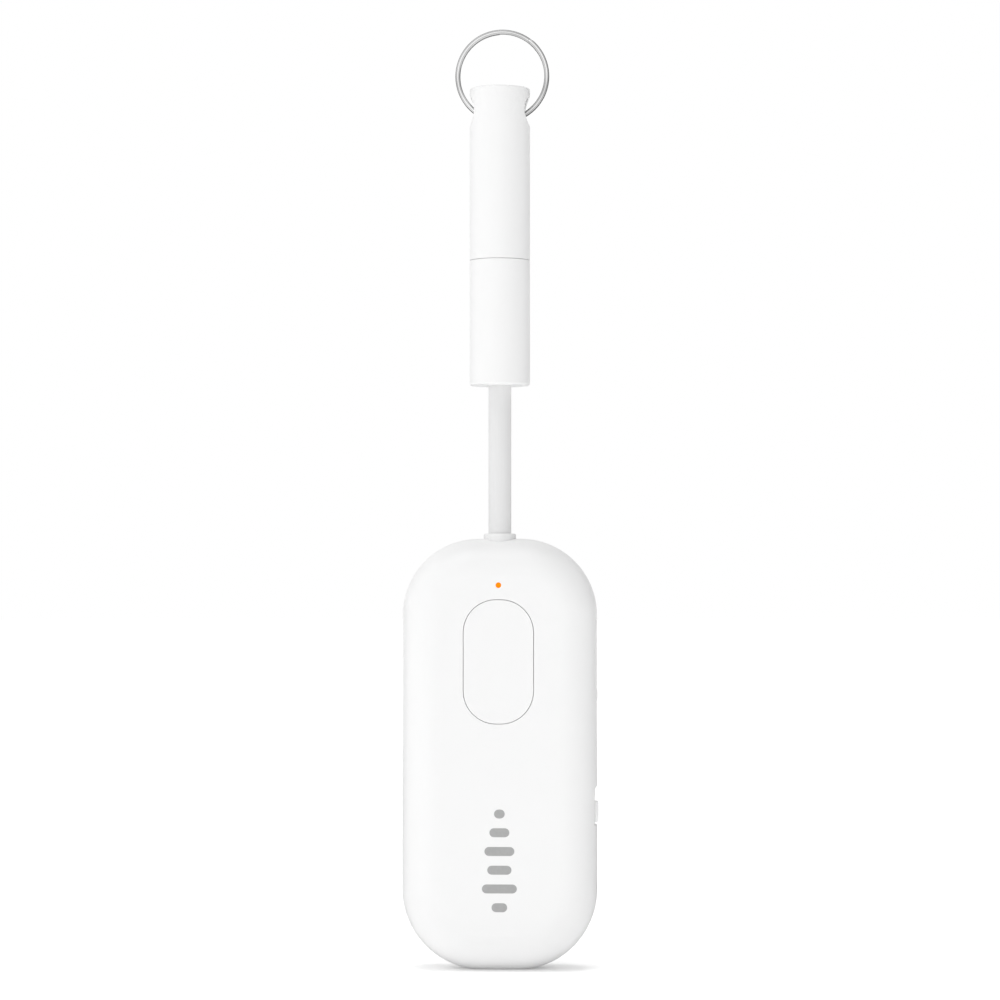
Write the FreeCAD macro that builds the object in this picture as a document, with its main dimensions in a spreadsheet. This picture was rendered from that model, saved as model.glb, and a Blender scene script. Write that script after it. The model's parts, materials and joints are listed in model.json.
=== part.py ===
import FreeCAD, Part
import math
import os
import re

import Sketcher

# Pocket Bluetooth audio receiver: a pebble-shaped housing on a short captive cable with a
# 3.5 mm stereo plug, and a cap with a split key ring that covers the plug.
# Millimetres. +Z is up along the whole object, the front with the button faces -Y, +X is right.
# The origin is the inner top of the key ring, the point that the object hangs from.
# Heights in the sheet are measured up from the housing's lower end; put() moves them to the origin.

SIZES = {
    # key ring
    "hang_height": 133.0,
    "ring_radius": 6.35,
    "ring_wire_width": 0.7,
    "ring_wire_thick": 0.36,
    "ring_pitch": 0.4,
    "ring_turns": 1.9,
    "ring_aside": 0.35,
    # housing
    "housing_width": 27.6,
    "housing_height": 61.0,
    "housing_thick": 11.0,
    "corner_round": 10.8,
    "low_corner_round": 11.4,
    "edge_round": 5.2,
    "wall": 1.3,
    "seam_back": 2.4,
    "seam_line_width": 0.14,
    "seam_line_depth": 0.12,
    # front button and the switch under it
    "button_width": 9.82,
    "button_height": 17.38,
    "button_middle": 43.64,
    "button_round": 4.6,
    "button_gap": 0.07,
    "button_rim_round": 0.05,
    "button_lip": 0.7,
    "lip_thick": 0.7,
    "lip_gap": 0.05,
    "pad_radius": 2.0,
    "pad_end": -2.6,
    "tact_width": 5.2,
    "tact_front": -2.2,
    "plunger_radius": 1.1,
    "plunger_end": -1.9,
    "plunger_well": -1.2,
    # status light
    "light_height": 54.4,
    "light_radius": 0.39,
    "light_back_radius": 0.9,
    "light_sink": 0.02,
    "light_gap": 0.01,
    "light_end": -1.35,
    "led_front": -1.2,
    "led_width": 1.6,
    "led_tall": 0.8,
    # circuit board
    "board_front": -0.6,
    "board_back": 0.2,
    "board_width": 21.6,
    "board_low": 4.0,
    "board_high": 55.6,
    "board_round": 8.0,
    "notch_width": 9.8,
    "notch_high": 8.2,
    # board screws and the posts that take them
    "screw_across": 8.0,
    "screw_high": 50.0,
    "screw_low": 10.4,
    "screw_radius": 0.55,
    "screw_head_radius": 1.1,
    "screw_head_thick": 0.55,
    "screw_tip": -3.2,
    "post_radius": 1.6,
    "pilot_radius": 0.58,
    # battery
    "cell_width": 20.0,
    "cell_low": 13.0,
    "cell_high": 43.0,
    "cell_front": 0.7,
    "cell_back": 3.9,
    "cell_round": 1.0,
    "tape_width": 16.0,
    "tape_margin": 3.0,
    "guard_front": 1.9,
    "guard_back": 2.7,
    "guard_high": 45.3,
    "lead_radius": 0.35,
    "red_lead_x": -3.6,
    "black_lead_x": -1.8,
    "lead_middle": 2.3,
    "lead_turn": 48.4,
    "lead_bend": 1.0,
    # charging port
    "port_width": 8.94,
    "port_thick": 3.26,
    "port_wall": 0.3,
    "port_low": 0.6,
    "port_high": 8.0,
    "port_gap": 0.08,
    "tongue_width": 6.7,
    "tongue_thick": 0.7,
    "tongue_low": 1.4,
    "tongue_root": 5.2,
    "port_block_gap": 0.02,
    "contact_pitch": 0.5,
    "contact_width": 0.26,
    "contact_thick": 0.04,
    # mode switch on the right side
    "knob_low": 20.9,
    "knob_high": 23.84,
    "knob_depth": 2.4,
    "knob_face": 13.98,
    "knob_travel": 2.05,
    "knob_gap": 0.07,
    "knob_round": 0.25,
    "skirt_inner": 11.65,
    "skirt_outer": 12.15,
    "skirt_depth": 3.1,
    "scoop_low": 20.5,
    "scoop_high": 26.06,
    "scoop_step": 25.7,
    "scoop_shallow": 13.52,
    "scoop_floor": 13.44,
    "scoop_depth": 4.8,
    "switch_inner": 8.4,
    "switch_outer": 11.0,
    "switch_front": -2.2,
    "switch_low": 19.2,
    "switch_high": 27.6,
    "slider_inner": 9.6,
    "slider_front": -1.8,
    "slider_back": -1.0,
    "slider_length": 1.4,
    # microphone hole and its domed cap on the right side
    "mic_height": 38.9,
    "mic_hole_radius": 0.35,
    "mic_cap_radius": 1.45,
    "mic_cap_gap": 0.02,
    "mic_cap_inner": 12.9,
    "mic_cap_face": 13.88,
    "mic_cap_dome": 4.2,
    # cable and grommet
    "cable_radius": 1.625,
    "cable_low": 57.0,
    "cable_high": 87.6,
    "cable_gap": 0.025,
    "collar_radius": 2.3,
    "collar_low": 60.4,
    "collar_high": 61.75,
    "collar_gap": 0.02,
    "neck_radius": 1.98,
    "grommet_radius": 2.8,
    "grommet_low": 57.6,
    "grommet_step": 58.7,
    "core_wire_radius": 0.3,
    "core_wire_pitch": 0.8,
    "core_wire_back": 0.55,
    "core_wire_split": 56.2,
    "core_wire_spread": 54.2,
    "core_wire_end": 51.8,
    "core_wire_bend": 0.8,
    # stereo plug
    "barrel_radius": 4.3,
    "barrel_bore": 3.3,
    "barrel_low": 82.8,
    "barrel_floor": 84.4,
    "barrel_high": 100.6,
    "barrel_round": 0.3,
    "rim_round": 0.05,
    "core_gap": 0.02,
    "core_high": 100.4,
    "pin_radius": 1.75,
    "pin_root_radius": 1.5,
    "pin_root": 96.0,
    "flange_radius": 2.6,
    "flange_low": 98.4,
    "sleeve_bore": 1.1,
    "sleeve_high": 106.6,
    "first_ring_high": 107.2,
    "ring_bore": 0.95,
    "ring_contact_high": 109.6,
    "second_ring_high": 110.2,
    "tip_rod": 0.7,
    "tip_shoulder": 110.9,
    "tip_neck_radius": 1.15,
    "tip_neck": 111.7,
    "tip_ball_radius": 1.72,
    "tip_ball": 112.9,
    "tip_cone_radius": 1.4,
    "tip_cone": 113.9,
    "tip_end_radius": 0.7,
    "tip_end": 114.6,
    # cap
    "cap_low": 100.65,
    "cap_high": 125.2,
    "cap_round": 0.3,
    "cap_bore": 3.2,
    "cap_bore_high": 116.2,
    "liner_gap": 0.02,
    "liner_low": 100.9,
    "liner_bore": 2.4,
    "liner_grip": 1.82,
    "liner_grip_low": 111.6,
    "liner_high": 116.0,
    "ring_hole_height": 122.0,
    "ring_hole_radius": 2.05,
    "ring_hole_round": 0.25,
}

V = FreeCAD.Vector
Y_AXIS_TURN = FreeCAD.Rotation(V(1, 0, 0), -90)
X_AXIS_TURN = FreeCAD.Rotation(V(0, 1, 0), 90)

doc = FreeCAD.newDocument("audio_receiver")
sheet = doc.addObject("Spreadsheet::Sheet", "Sizes")
for row, (alias, number) in enumerate(SIZES.items(), start=1):
    sheet.set(f"A{row}", alias)
    sheet.set(f"B{row}", str(number))
    sheet.setAlias(f"B{row}", alias)
doc.recompute()


# ---------------------------------------------------------------- helpers

def bound(formula):
    """A formula in size names, written so that the sheet answers it."""
    return re.sub(r"[a-z]\w*", lambda word: "Sizes." + word.group(), formula)


def size(alias):
    """One size, read from the sheet."""
    return float(sheet.get(alias))


def put(piece, x="0", y="0", height="0"):
    """Places a piece; the height is measured from the housing's lower end."""
    piece.setExpression("Placement.Base.x", bound(x))
    piece.setExpression("Placement.Base.y", bound(y))
    piece.setExpression("Placement.Base.z", bound(f"{height} - hang_height"))


def box(name, x, y, z):
    """A block; each side is a (low, high) pair of formulas."""
    piece = doc.addObject("Part::Box", name)
    piece.setExpression("Length", bound(f"({x[1]}) - ({x[0]})"))
    piece.setExpression("Width", bound(f"({y[1]}) - ({y[0]})"))
    piece.setExpression("Height", bound(f"({z[1]}) - ({z[0]})"))
    put(piece, x[0], y[0], z[0])
    return piece


def rod(name, radius, axis, low, high, x="0", y="0", height="0"):
    """A round bar along one axis from low to high; the axis's own coordinate is not given."""
    piece = doc.addObject("Part::Cylinder", name)
    piece.setExpression("Radius", bound(radius))
    piece.setExpression("Height", bound(f"({high}) - ({low})"))
    if axis == "x":
        piece.Placement = FreeCAD.Placement(V(), X_AXIS_TURN)
        put(piece, low, y, height)
    elif axis == "y":
        piece.Placement = FreeCAD.Placement(V(), Y_AXIS_TURN)
        put(piece, x, low, height)
    else:
        put(piece, x, y, low)
    return piece


def joined(name, pieces):
    """One solid from several that touch."""
    result = doc.addObject("Part::MultiFuse", name)
    result.Shapes = pieces
    result.Refine = True
    return result


def cut(name, base, tools):
    """The base with every tool taken out of it."""
    result = doc.addObject("Part::Cut", name)
    result.Base = base
    result.Tool = tools[0] if len(tools) == 1 else joined(name + "_tools", tools)
    return result


def common(name, first, second):
    """What two pieces share."""
    result = doc.addObject("Part::Common", name)
    result.Base = first
    result.Tool = second
    return result


def group(name, pieces):
    """Separate solids that share one node."""
    result = doc.addObject("Part::Compound", name)
    result.Links = pieces
    return result


def flat_bar(name, width, thick, low, high):
    """An upright bar with round left and right edges, centred on the Z axis."""
    across = f"(({width}) - ({thick})) / 2"
    half_thick = f"({thick}) / 2"
    pieces = [box(name + "_middle", (f"-{across}", across), (f"-{half_thick}", half_thick), (low, high))]
    for side, sign in (("left", "-"), ("right", "")):
        pieces.append(rod(f"{name}_{side}", half_thick, "z", low, high, x=sign + across))
    return joined(name, pieces)


def new_body(name):
    """An empty PartDesign body at the object's own origin."""
    body = doc.addObject("PartDesign::Body", name)
    put(body)
    return body


def sketch_on(body, role, name, offset="0"):
    """A sketch on one of the body's origin planes, moved along the plane's normal."""
    sketch = body.newObject("Sketcher::SketchObject", name)
    plane = next(item for item in body.Origin.OriginFeatures if item.Role == role)
    sketch.AttachmentSupport = [(plane, "")]
    sketch.MapMode = "FlatFace"
    sketch.setExpression("AttachmentOffset.Base.z", bound(offset))
    return sketch


def pin_point(sketch, geometry, point, across, up):
    """Holds one sketch point at a pair of formulas."""
    for kind, formula in (("DistanceX", across), ("DistanceY", up)):
        index = sketch.addConstraint(Sketcher.Constraint(kind, -1, 1, geometry, point, 1.0))
        sketch.setExpression(f"Constraints[{index}]", bound(formula))


def draw_polygon(sketch, corners):
    """A closed outline of straight edges; each corner is a pair of formulas."""
    count = len(corners)
    angles = [2 * math.pi * n / count for n in range(count)]
    spots = [V(math.cos(a), math.sin(a), 0) for a in angles]
    for n in range(count):
        sketch.addGeometry(Part.LineSegment(spots[n], spots[(n + 1) % count]))
    for n in range(count):
        sketch.addConstraint(Sketcher.Constraint("Coincident", n, 2, (n + 1) % count, 1))
    for n, (across, up) in enumerate(corners):
        pin_point(sketch, n, 1, across, up)


def draw_rectangle(sketch, across, up):
    """A closed rectangle between (low, high) pairs of formulas."""
    left, right = across
    low, high = up
    draw_polygon(sketch, [(left, low), (right, low), (right, high), (left, high)])


def draw_circles(sketch, radius, centres):
    """Circles of one radius at pairs of formulas."""
    for n, (across, up) in enumerate(centres):
        sketch.addGeometry(Part.Circle(V(n, 0, 0), V(0, 0, 1), 1))
        pin_point(sketch, n, 3, across, up)
        index = sketch.addConstraint(Sketcher.Constraint("Radius", n, 1.0))
        sketch.setExpression(f"Constraints[{index}]", bound(radius))


def pad_between(body, name, front, back, across, up):
    """A rectangle pad in the board's plane that fills from y = front to y = back."""
    sketch = sketch_on(body, "XZ_Plane", name + "_sketch", f"-({back})")
    draw_rectangle(sketch, across, up)
    pad = body.newObject("PartDesign::Pad", name)
    pad.Profile = sketch
    pad.setExpression("Length", bound(f"({back}) - ({front})"))
    return pad


def pocket_through(body, name, sketch):
    """Cuts a sketch right through the body, both ways."""
    pocket = body.newObject("PartDesign::Pocket", name)
    pocket.Profile = sketch
    pocket.Type = "ThroughAll"
    pocket.Midplane = True
    return pocket


def round_edges(body, name, radius, chosen):
    """Rounds the edges of the body's last feature that the test picks."""
    doc.recompute()
    base = body.Tip
    names = [f"Edge{n}" for n, edge in enumerate(base.Shape.Edges, start=1) if chosen(edge)]
    fillet = body.newObject("PartDesign::Fillet", name)
    fillet.Base = (base, names)
    fillet.setExpression("Radius", bound(radius))
    return fillet


def runs_along_y(edge):
    """True for a straight edge from front to back."""
    span = edge.BoundBox
    return span.YLength > 0.1 and span.XLength < 0.01 and span.ZLength < 0.01


def circle_at(radius, height):
    """A test for a level circle of this radius at this height, both given by alias."""
    def test(edge):
        circle = edge.Curve
        if not isinstance(circle, Part.Circle):
            return False
        return abs(circle.Radius - size(radius)) < 0.01 and abs(circle.Center.z - size(height)) < 0.01
    return test


def turned(name, corners):
    """A piece turned about the Z axis; each corner is (radius, height)."""
    body = new_body(name)
    sketch = sketch_on(body, "XZ_Plane", name + "_section")
    draw_polygon(sketch, corners)
    turn = body.newObject("PartDesign::Revolution", name + "_turn")
    turn.Profile = sketch
    turn.ReferenceAxis = (sketch, ["V_Axis"])
    turn.Angle = 360
    return body


def bent_wire(name, points, radius, bend):
    """A round wire through the points; each corner is turned on an arc, and a straight one needs none."""
    edges = []
    start = points[0]
    for before, corner, after in zip(points, points[1:], points[2:]):
        into = (corner - before).normalize()
        out = (after - corner).normalize()
        turn = into.getAngle(out)
        if turn < 0.001:
            continue
        reach = bend * math.tan(turn / 2)
        first = corner - into * reach
        last = corner + out * reach
        inward = (out - into).normalize()
        centre = corner + inward * (bend / math.cos(turn / 2))
        edges.append(Part.LineSegment(start, first).toShape())
        edges.append(Part.Arc(first, centre - inward * bend, last).toShape())
        start = last
    edges.append(Part.LineSegment(start, points[-1]).toShape())
    heading = points[1] - points[0]
    section = Part.Wire(Part.Circle(points[0], heading, radius).toShape())
    piece = doc.addObject("Part::Feature", name)
    piece.Shape = Part.Wire(edges).makePipeShell([section], True, False)
    piece.Placement = FreeCAD.Placement(V(0, 0, -size("hang_height")), FreeCAD.Rotation())
    return piece


def soften(name, base, radius, chosen):
    """The base with the edges that the test picks rounded."""
    doc.recompute()
    edges = [n for n, edge in enumerate(base.Shape.Edges, start=1) if chosen(edge)]
    result = doc.addObject("Part::Fillet", name)
    result.Base = base
    result.Edges = [(n, size(radius), size(radius)) for n in edges]
    return result


# ---------------------------------------------------------------- housing shells

HALFWAY_UP = SIZES["housing_height"] / 2


def rounded_bar(name, inset):
    """The housing's outer form, or its hollow when it is set in by the wall."""
    body = new_body(name)
    half_width = f"(housing_width / 2 - {inset})"
    half_thick = f"(housing_thick / 2 - {inset})"
    pad_between(body, name + "_pad", f"-{half_thick}", half_thick, (f"-{half_width}", half_width),
                (inset, f"housing_height - {inset}"))
    round_edges(body, name + "_top_corners", f"corner_round - {inset}",
                lambda edge: runs_along_y(edge) and edge.CenterOfMass.z > HALFWAY_UP)
    round_edges(body, name + "_low_corners", f"low_corner_round - {inset}",
                lambda edge: runs_along_y(edge) and edge.CenterOfMass.z < HALFWAY_UP)
    round_edges(body, name + "_rims", f"edge_round - {inset}", lambda edge: edge.BoundBox.YLength < 0.01)
    return body


FRONT = "-housing_thick / 2"
BACK = "housing_thick / 2"
FRONT_INNER = "wall - housing_thick / 2"
BACK_INNER = "housing_thick / 2 - wall"
SIDE = "housing_width / 2"
SCREW_SPOTS = [
    ("-screw_across", "screw_high"),
    ("screw_across", "screw_high"),
    ("-screw_across", "screw_low"),
]


def button_outline(body, name, front, back, grow):
    """The button's rounded rectangle, grown all round, from front to back."""
    half_width = f"(button_width / 2 + {grow})"
    half_height = f"(button_height / 2 + {grow})"
    across = (f"-{half_width}", half_width)
    up = (f"button_middle - {half_height}", f"button_middle + {half_height}")
    pad_between(body, name, front, back, across, up)


def front_outline(grow, middle):
    """A test for the button's outline, grown all round, on the front face; middle is its mid-height."""
    front = -size("housing_thick") / 2
    half_width = size("button_width") / 2 + grow
    half_height = size("button_height") / 2 + grow

    def test(edge):
        span = edge.BoundBox
        level = span.YLength < 0.01 and abs(span.YMin - front) < 0.01
        beside = max(-span.XMin, span.XMax) < half_width + 0.01
        return level and beside and abs(edge.CenterOfMass.z - middle) < half_height + 0.01
    return test


def scoop_cutter():
    """The shallow scoop that the mode knob slides in, with a short ramp at its upper end."""
    body = new_body("mode_scoop")
    sketch = sketch_on(body, "XZ_Plane", "mode_scoop_sketch", "-scoop_depth / 2")
    outside = "(housing_width / 2 + 1)"
    draw_polygon(sketch, [
        (outside, "scoop_low"),
        ("scoop_floor", "scoop_low"),
        ("scoop_floor", "knob_high"),
        ("scoop_shallow", "scoop_step"),
        (SIDE, "scoop_high"),
        (outside, "scoop_high"),
    ])
    pad = body.newObject("PartDesign::Pad", "mode_scoop_pad")
    pad.Profile = sketch
    pad.setExpression("Length", bound("scoop_depth"))
    return body


def make_shells():
    """Front and rear shells, split behind the middle plane."""
    form = rounded_bar("housing_form", "0")
    hollow = rounded_bar("housing_hollow", "wall")
    walls = cut("housing_walls", form, [hollow])
    across = ("-housing_width", "housing_width")
    up = ("-1", "housing_height + 1")
    line_low = "seam_back - seam_line_width / 2"
    line_high = "seam_back + seam_line_width / 2"
    under_line = rounded_bar("seam_core", "seam_line_depth")
    seam_line = cut("seam_line", box("seam_slab", across, (line_low, line_high), up), [under_line])
    grooved = cut("grooved_walls", walls, [seam_line])
    front_side = box("front_side", across, ("-housing_thick", "seam_back"), up)
    rear_side = box("rear_side", across, ("seam_back", "housing_thick"), up)
    front_half = common("front_half", grooved, front_side)
    rear_shell = common("rear_shell", grooved, rear_side)

    posts = []
    pilots = []
    for n, (x, height) in enumerate(SCREW_SPOTS):
        post_y = (FRONT_INNER + " - wall / 4", "board_front")
        pilot_y = ("screw_tip - 0.2", "board_front + 1")
        posts.append(rod(f"post_{n}", "post_radius", "y", *post_y, x=x, height=height))
        pilots.append(rod(f"pilot_{n}", "pilot_radius", "y", *pilot_y, x=x, height=height))

    through_front = (FRONT + " - 1", FRONT_INNER + " + wall")
    button_hole = new_body("button_hole")
    button_outline(button_hole, "button_hole_pad", *through_front, "button_gap")
    round_edges(button_hole, "button_hole_round", "button_round + button_gap", runs_along_y)

    slot_y = ("-knob_depth / 2 - knob_gap", "knob_depth / 2 + knob_gap")
    slot_z = ("knob_low - knob_gap", "knob_high + knob_travel + knob_gap")
    port_gap_width = "port_width + 2 * port_gap"
    port_gap_thick = "port_thick + 2 * port_gap"
    openings = [
        button_hole,
        rod("light_hole", "light_radius + light_gap", "y", *through_front, height="light_height"),
        scoop_cutter(),
        box("mode_slot", ("skirt_outer", SIDE + " + 1"), slot_y, slot_z),
        rod("mic_hole", "mic_hole_radius", "x", SIDE + " - 2 * wall", SIDE, height="mic_height"),
        rod("mic_seat", "mic_cap_radius + mic_cap_gap", "x", "mic_cap_inner", SIDE, height="mic_height"),
        rod("neck_hole", "neck_radius + collar_gap", "z", "grommet_step - 1", "housing_height + 1"),
        rod("collar_seat", "collar_radius + collar_gap", "z", "collar_low", "housing_height + 1"),
        flat_bar("port_hole", port_gap_width, port_gap_thick, "-1", "port_high - 4"),
    ]
    opened = cut("front_opened", joined("front_blank", [front_half] + posts), openings + pilots)
    button_rim = front_outline(size("button_gap"), size("button_middle") - size("hang_height"))
    return [soften("front_shell", opened, "button_rim_round", button_rim), rear_shell]


# ---------------------------------------------------------------- button and light

def make_button():
    """The front button with its retaining lip, the silicone pad and the switch under it."""
    button = new_body("power_button")
    button_outline(button, "button_face", FRONT, FRONT_INNER + " + lip_gap", "0")
    round_edges(button, "button_corners", "button_round", runs_along_y)
    round_edges(button, "button_rim", "button_rim_round", front_outline(0, size("button_middle")))
    lip_front = FRONT_INNER + " + lip_gap"
    pad_front = lip_front + " + lip_thick"
    button_outline(button, "button_lip_pad", lip_front, pad_front, "button_lip")
    lip_reach = size("button_width") / 2 + size("button_lip")
    round_edges(button, "lip_corners", "button_round + button_lip",
                lambda edge: runs_along_y(edge) and abs(abs(edge.CenterOfMass.x) - lip_reach) < 0.01)
    pad = rod("button_pad", "pad_radius", "y", pad_front, "pad_end", height="button_middle")
    plunger = rod("tact_plunger", "plunger_radius", "y", "pad_end", "plunger_end", height="button_middle")
    half = "tact_width / 2"
    block = box("tact_block", (f"-{half}", half), ("tact_front", "board_front"),
                (f"button_middle - {half}", f"button_middle + {half}"))
    bore = "plunger_radius + 0.08"
    well = rod("tact_well", bore, "y", "tact_front - 1", "plunger_well", height="button_middle")
    switch = cut("tact_switch", block, [well])
    return [button, pad, plunger, switch]


def make_light():
    """The status light's clear pipe and the small lamp behind it."""
    pipe = joined("light_pipe", [
        rod("pipe_tip", "light_radius", "y", FRONT + " + light_sink", FRONT_INNER, height="light_height"),
        rod("pipe_back", "light_back_radius", "y", FRONT_INNER, "light_end", height="light_height"),
    ])
    lamp = box("status_led", ("-led_width / 2", "led_width / 2"), ("led_front", "board_front"),
               ("light_height - led_tall / 2", "light_height + led_tall / 2"))
    return [pipe, lamp]


# ---------------------------------------------------------------- circuit board

def make_board():
    """The circuit board, notched for the charging port, with holes for its screws."""
    board = new_body("circuit_board")
    across = ("-board_width / 2", "board_width / 2")
    pad_between(board, "board_pad", "board_front", "board_back", across, ("board_low", "board_high"))
    round_edges(board, "board_corners", "board_round", runs_along_y)
    doc.recompute()
    notch = sketch_on(board, "XZ_Plane", "board_notch_sketch")
    draw_rectangle(notch, ("-notch_width / 2", "notch_width / 2"), ("board_low - 1", "notch_high"))
    pocket_through(board, "board_notch", notch)
    holes = sketch_on(board, "XZ_Plane", "board_holes_sketch")
    draw_circles(holes, "screw_radius + 0.2", SCREW_SPOTS)
    pocket_through(board, "board_holes", holes)

    screws = []
    for n, (x, height) in enumerate(SCREW_SPOTS):
        head_back = "board_back + screw_head_thick"
        head = rod(f"screw_head_{n}", "screw_head_radius", "y", "board_back", head_back, x=x, height=height)
        shank = rod(f"screw_shank_{n}", "screw_radius", "y", "screw_tip", "board_back", x=x, height=height)
        drive = box(f"screw_drive_{n}", (f"{x} - 0.12", f"{x} + 0.12"),
                    (head_back + " - 0.25", head_back + " + 1"), (f"{height} - 0.7", f"{height} + 0.7"))
        screws.append(cut(f"screw_{n}", joined(f"screw_solid_{n}", [head, shank]), [drive]))
    return [board, group("board_screws", screws)]


# Chips on the front of the board: middle x, middle height, width, height and thickness.
CHIPS = {
    "bluetooth_chip": (-4.6, 31.0, 6.0, 6.0, 0.9),
    "chip_antenna": (-4.4, 53.2, 4.8, 1.6, 1.1),
    "audio_converter": (5.4, 33.4, 4.0, 4.0, 0.9),
    "charge_controller": (4.6, 13.6, 3.0, 3.0, 0.8),
    "clock_crystal": (-5.6, 22.4, 3.2, 2.5, 0.7),
    "microphone": (8.6, 38.9, 2.7, 1.9, 0.9),
}
SHIELD = (-4.6, 31.0, 9.4, 9.4, 1.5)
SHIELD_SPACE = (-4.6, 31.0, 9.1, 9.1, 1.35)
INDUCTOR = (5.4, 18.6, 2.5, 2.5, 1.2)
# Rows of equal small parts: first middle x and height, step in x and height, count, and the part's sizes.
CAPACITOR_ROW = ((1.6, 17.5), (0, 2.2), 6, (0.8, 1.6, 0.8))
RESISTOR_ROW = ((-8.6, 17.8), (1.5, 0), 5, (0.8, 1.6, 0.5))


def chip(name, x, height, width, tall, thick):
    """A flat component soldered to the front of the board, centred at x and height."""
    across = (f"{x} - {width} / 2", f"{x} + {width} / 2")
    up = (f"{height} - {tall} / 2", f"{height} + {tall} / 2")
    return box(name, across, (f"board_front - {thick}", "board_front"), up)


def chip_row(name, start, step, count, sizes):
    """Equal components in a row."""
    x, height = start
    return [chip(f"{name}_{n}", x + n * step[0], height + n * step[1], *sizes) for n in range(count)]


def make_components():
    """What is soldered to the front of the board."""
    nodes = [chip(name, *sizes) for name, sizes in CHIPS.items()]
    nodes.append(cut("radio_shield", chip("shield_block", *SHIELD), [chip("shield_space", *SHIELD_SPACE)]))
    passives = chip_row("capacitor", *CAPACITOR_ROW) + chip_row("resistor", *RESISTOR_ROW)
    passives.append(chip("inductor", *INDUCTOR))
    nodes.append(group("small_components", passives))
    return nodes


# ---------------------------------------------------------------- charging port

CONTACTS_EACH_SIDE = 12


def make_port():
    """The USB-C socket at the lower end: a steel shell, and a tongue on a plastic block."""
    inner_width = "(port_width - 2 * port_wall)"
    inner_thick = "(port_thick - 2 * port_wall)"
    outer = flat_bar("port_outer", "port_width", "port_thick", "port_low", "port_high")
    inner = flat_bar("port_inner", inner_width, inner_thick, "port_low - 1", "port_high + 1")
    shell = cut("usb_shell", outer, [inner])
    block_width = inner_width + " - 2 * port_block_gap"
    block_thick = inner_thick + " - 2 * port_block_gap"
    block = flat_bar("port_block", block_width, block_thick, "tongue_root", "port_high - 0.2")
    tongue_front = "-tongue_thick / 2"
    tongue_back = "tongue_thick / 2"
    tongue = box("port_tongue", ("-tongue_width / 2", "tongue_width / 2"), (tongue_front, tongue_back),
                 ("tongue_low", "tongue_root + 1"))
    front_y = (tongue_front + " - contact_thick", tongue_front)
    back_y = (tongue_back, tongue_back + " + contact_thick")
    contact_z = ("tongue_low + 0.4", "tongue_root - 0.1")
    contacts = []
    for n in range(CONTACTS_EACH_SIDE):
        x = f"{n - (CONTACTS_EACH_SIDE - 1) / 2} * contact_pitch"
        across = (f"{x} - contact_width / 2", f"{x} + contact_width / 2")
        contacts.append(box(f"front_contact_{n}", across, front_y, contact_z))
        contacts.append(box(f"back_contact_{n}", across, back_y, contact_z))
    return [shell, joined("usb_tongue", [block, tongue]), group("usb_contacts", contacts)]


# ---------------------------------------------------------------- mode switch

def on_knob_face(edge):
    """True for the edges round the knob's outer face."""
    return edge.BoundBox.XMin > size("knob_face") - 0.01


def make_mic_cap():
    """The domed cap over the microphone's hole, pierced in the middle."""
    plug = rod("mic_cap_plug", "mic_cap_radius", "x", "mic_cap_inner", "mic_cap_face", height="mic_height")
    dome = doc.addObject("Part::Sphere", "mic_cap_ball")
    dome.setExpression("Radius", bound("mic_cap_dome"))
    put(dome, "mic_cap_face - mic_cap_dome", "0", "mic_height")
    hole = rod("mic_cap_hole", "mic_hole_radius", "x", "mic_cap_inner", "mic_cap_face", height="mic_height")
    return [cut("microphone_cap", common("mic_cap_domed", plug, dome), [hole])]


def make_mode_switch():
    """The side slide switch: its case on the board, the slider in it and the outer knob."""
    middle = "(knob_low + knob_high) / 2"
    slider_y = ("slider_front", "slider_back")
    slider_z = (f"{middle} - slider_length / 2", f"{middle} + slider_length / 2")
    case = box("switch_block", ("switch_inner", "switch_outer"), ("switch_front", "board_front"),
               ("switch_low", "switch_high"))
    channel = box("switch_channel", ("slider_inner - 0.1", "switch_outer + 1"),
                  ("slider_front - 0.05", "slider_back + 0.05"),
                  (slider_z[0] + " - 0.1", slider_z[1] + " + knob_travel + 0.1"))
    slider = box("mode_slider", ("slider_inner", "skirt_inner"), slider_y, slider_z)
    grip = box("knob_grip", ("skirt_outer - 0.1", "knob_face"), ("-knob_depth / 2", "knob_depth / 2"),
               ("knob_low", "knob_high"))
    skirt = box("knob_skirt", ("skirt_inner", "skirt_outer"), ("-skirt_depth / 2", "skirt_depth / 2"),
                ("knob_low - knob_travel - 0.15", "knob_high + knob_travel + 0.1"))
    blank = joined("knob_blank", [grip, skirt])
    knob = soften("mode_knob", blank, "knob_round", on_knob_face)
    return [cut("mode_switch_case", case, [channel]), slider, knob]


# ---------------------------------------------------------------- battery

def make_battery():
    """The pouch cell behind the board, its guard board, pads and two leads."""
    cell = new_body("battery_cell")
    pad_between(cell, "cell_pad", "cell_front", "cell_back", ("-cell_width / 2", "cell_width / 2"),
                ("cell_low", "cell_high"))
    round_edges(cell, "cell_corners", "cell_round", runs_along_y)
    round_edges(cell, "cell_sides", "cell_round", lambda edge: edge.BoundBox.YLength < 0.01)
    pad_x = ("-tape_width / 2", "tape_width / 2")
    guard = box("battery_guard_board", pad_x, ("guard_front", "guard_back"), ("cell_high", "guard_high"))
    pad_z = ("cell_low + tape_margin", "cell_high - tape_margin")
    nodes = [
        cell,
        guard,
        box("battery_foam", pad_x, ("board_back", "cell_front"), pad_z),
        box("battery_tape", pad_x, ("cell_back", BACK_INNER), pad_z),
    ]
    for name, x in (("battery_lead_red", size("red_lead_x")), ("battery_lead_black", size("black_lead_x"))):
        points = [
            V(x, size("lead_middle"), size("guard_high")),
            V(x, size("lead_middle"), size("lead_turn")),
            V(x, size("board_back"), size("lead_turn")),
        ]
        nodes.append(bent_wire(name, points, size("lead_radius"), size("lead_bend")))
    return nodes


# ---------------------------------------------------------------- cable

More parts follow.
